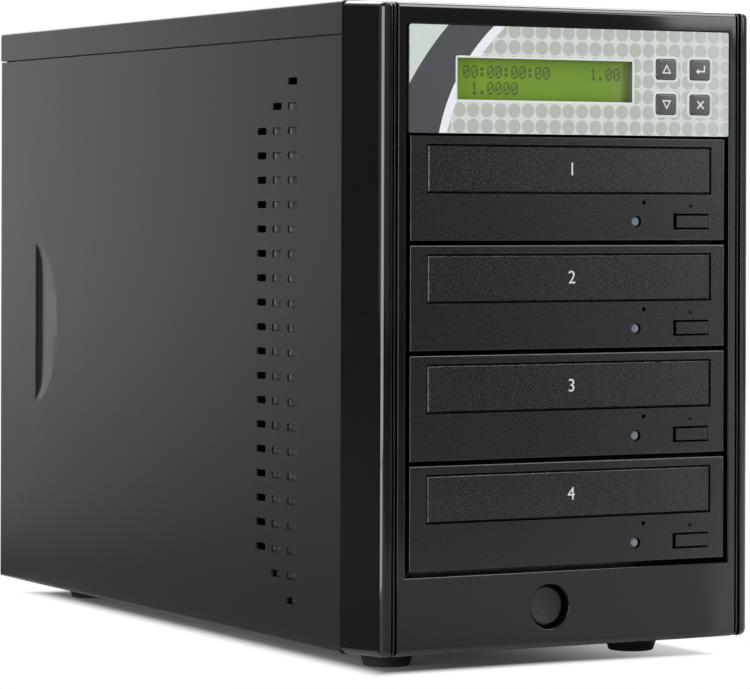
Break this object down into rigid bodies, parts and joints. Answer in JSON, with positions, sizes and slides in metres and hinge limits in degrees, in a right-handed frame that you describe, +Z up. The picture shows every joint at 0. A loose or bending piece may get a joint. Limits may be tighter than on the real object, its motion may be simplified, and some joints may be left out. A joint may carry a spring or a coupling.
{
  "type": "disc duplicator",
  "caption": "Upright steel tower with a gloss black front, a control panel with a display over a stack of tray-loading disc drives, vented side panels, a rear fan and a mains inlet.",
  "frame": {"origin": "middle of the footprint, on the surface that the feet stand on", "axes": "+Z up, -Y out of the front face, +X to the right as seen from the front"},
  "size_m": [0.1736, 0.395, 0.2698],
  "materials": {
    "painted_steel": "satin dark grey paint",
    "bare_steel": "zinc-plated sheet",
    "gloss_black": "polished black moulding",
    "satin_black": "fine-grained black moulding",
    "grey_plastic": "plain moulding",
    "film": "printed film",
    "display_glass": "display glass",
    "board": "solder resist",
    "key_plastic": "satin",
    "light_pipe": "clear moulding",
    "rubber": "moulded rubber",
    "screw_steel": "nickel plate",
    "cable_jacket": "soft jacket"
  },
  "bodies": {
    "chassis": {"base_tray": "bare_steel", "front_plate": "bare_steel", "rear_panel": "bare_steel", "top_cover": "painted_steel", "left_cage_wall": "bare_steel", "right_cage_wall": "bare_steel", "left_cheek": "gloss_black", "right_cheek": "gloss_black", "front_frame": "gloss_black", "power_switch": "satin_black", "feet": "rubber", "chassis_screws": "screw_steel", "power_supply_case": "bare_steel", "supply_fan_frame": "satin_black", "power_inlet": "satin_black", "exhaust_fan_frame": "satin_black", "control_panel": "grey_plastic", "panel_film": "film", "lcd_screen": "display_glass", "display_board": "board", "controller_board": "board", "drive_lights": "light_pipe", "drive_mechanisms": "grey_plastic", "wiring": "cable_jacket", "drive_1_shell": "bare_steel", "drive_1_face": "satin_black", "drive_2_shell": "bare_steel", "drive_2_face": "satin_black", "drive_3_shell": "bare_steel", "drive_3_face": "satin_black", "drive_4_shell": "bare_steel", "drive_4_face": "satin_black"},
    "tray_1": {"drive_1_tray": "satin_black", "drive_1_door": "satin_black"},
    "eject_1": {"drive_1_eject_flap": "satin_black"},
    "disc_spindle_1": {"drive_1_turntable": "grey_plastic"},
    "tray_2": {"drive_2_tray": "satin_black", "drive_2_door": "satin_black"},
    "eject_2": {"drive_2_eject_flap": "satin_black"},
    "disc_spindle_2": {"drive_2_turntable": "grey_plastic"},
    "tray_3": {"drive_3_tray": "satin_black", "drive_3_door": "satin_black"},
    "eject_3": {"drive_3_eject_flap": "satin_black"},
    "disc_spindle_3": {"drive_3_turntable": "grey_plastic"},
    "tray_4": {"drive_4_tray": "satin_black", "drive_4_door": "satin_black"},
    "eject_4": {"drive_4_eject_flap": "satin_black"},
    "disc_spindle_4": {"drive_4_turntable": "grey_plastic"},
    "up_key": {"key_up": "key_plastic"},
    "down_key": {"key_down": "key_plastic"},
    "enter_key": {"key_enter": "key_plastic"},
    "escape_key": {"key_escape": "key_plastic"},
    "front_button": {"power_button": "gloss_black"},
    "mains_rocker": {"power_rocker": "satin_black"},
    "supply_fan_blades": {"supply_fan_rotor": "satin_black"},
    "exhaust_fan_blades": {"exhaust_fan_rotor": "satin_black"},
    "left_panel": {"left_side_panel": "painted_steel", "left_thumbscrews": "screw_steel"},
    "right_panel": {"right_side_panel": "painted_steel", "right_thumbscrews": "screw_steel"}
  },
  "joints": [
    {"name": "tray_1_slide", "type": "slide", "parent": "chassis", "child": "tray_1", "axis": [0, -1, 0], "range_m": [0, 0.138]},
    {"name": "eject_1_hinge", "type": "hinge", "parent": "chassis", "child": "eject_1", "pos_m": [0.065, -0.1949, 0.18108], "axis": [0, 0, -1], "range_deg": [0, 4], "stiffness_Nm_per_rad": 0.2},
    {"name": "disc_spindle_1_turn", "type": "hinge", "parent": "chassis", "child": "disc_spindle_1", "pos_m": [0, -0.1201, 0.19078], "axis": [0, 0, 1], "continuous": true},
    {"name": "tray_2_slide", "type": "slide", "parent": "chassis", "child": "tray_2", "axis": [0, -1, 0], "range_m": [0, 0.138]},
    {"name": "eject_2_hinge", "type": "hinge", "parent": "chassis", "child": "eject_2", "pos_m": [0.065, -0.1949, 0.13737], "axis": [0, 0, -1], "range_deg": [0, 4], "stiffness_Nm_per_rad": 0.2},
    {"name": "disc_spindle_2_turn", "type": "hinge", "parent": "chassis", "child": "disc_spindle_2", "pos_m": [0, -0.1201, 0.14707], "axis": [0, 0, 1], "continuous": true},
    {"name": "tray_3_slide", "type": "slide", "parent": "chassis", "child": "tray_3", "axis": [0, -1, 0], "range_m": [0, 0.138]},
    {"name": "eject_3_hinge", "type": "hinge", "parent": "chassis", "child": "eject_3", "pos_m": [0.065, -0.1949, 0.09366], "axis": [0, 0, -1], "range_deg": [0, 4], "stiffness_Nm_per_rad": 0.2},
    {"name": "disc_spindle_3_turn", "type": "hinge", "parent": "chassis", "child": "disc_spindle_3", "pos_m": [0, -0.1201, 0.10336], "axis": [0, 0, 1], "continuous": true},
    {"name": "tray_4_slide", "type": "slide", "parent": "chassis", "child": "tray_4", "axis": [0, -1, 0], "range_m": [0, 0.138]},
    {"name": "eject_4_hinge", "type": "hinge", "parent": "chassis", "child": "eject_4", "pos_m": [0.065, -0.1949, 0.04995], "axis": [0, 0, -1], "range_deg": [0, 4], "stiffness_Nm_per_rad": 0.2},
    {"name": "disc_spindle_4_turn", "type": "hinge", "parent": "chassis", "child": "disc_spindle_4", "pos_m": [0, -0.1201, 0.05965], "axis": [0, 0, 1], "continuous": true},
    {"name": "up_key_press", "type": "slide", "parent": "chassis", "child": "up_key", "axis": [0, 1, 0], "range_m": [0, 0.0005], "stiffness_N_per_m": 800},
    {"name": "down_key_press", "type": "slide", "parent": "chassis", "child": "down_key", "axis": [0, 1, 0], "range_m": [0, 0.0005], "stiffness_N_per_m": 800},
    {"name": "enter_key_press", "type": "slide", "parent": "chassis", "child": "enter_key", "axis": [0, 1, 0], "range_m": [0, 0.0005], "stiffness_N_per_m": 800},
    {"name": "escape_key_press", "type": "slide", "parent": "chassis", "child": "escape_key", "axis": [0, 1, 0], "range_m": [0, 0.0005], "stiffness_N_per_m": 800},
    {"name": "front_button_press", "type": "slide", "parent": "chassis", "child": "front_button", "axis": [0, 1, 0], "range_m": [0, 0.0025], "stiffness_N_per_m": 500},
    {"name": "mains_rocker_tip", "type": "hinge", "parent": "chassis", "child": "mains_rocker", "pos_m": [0.046, 0.1895, 0.0673], "axis": [1, 0, 0], "range_deg": [-14, 0]},
    {"name": "supply_fan_turn", "type": "hinge", "parent": "chassis", "child": "supply_fan_blades", "pos_m": [-0.0255, 0.1774, 0.0523], "axis": [0, 1, 0], "continuous": true},
    {"name": "exhaust_fan_turn", "type": "hinge", "parent": "chassis", "child": "exhaust_fan_blades", "pos_m": [0, 0.1784, 0.1493], "axis": [0, 1, 0], "continuous": true},
    {"name": "left_panel_slide", "type": "slide", "parent": "chassis", "child": "left_panel", "axis": [0, 1, 0], "range_m": [0, 0.016]},
    {"name": "right_panel_slide", "type": "slide", "parent": "chassis", "child": "right_panel", "axis": [0, 1, 0], "range_m": [0, 0.016]}
  ]
}
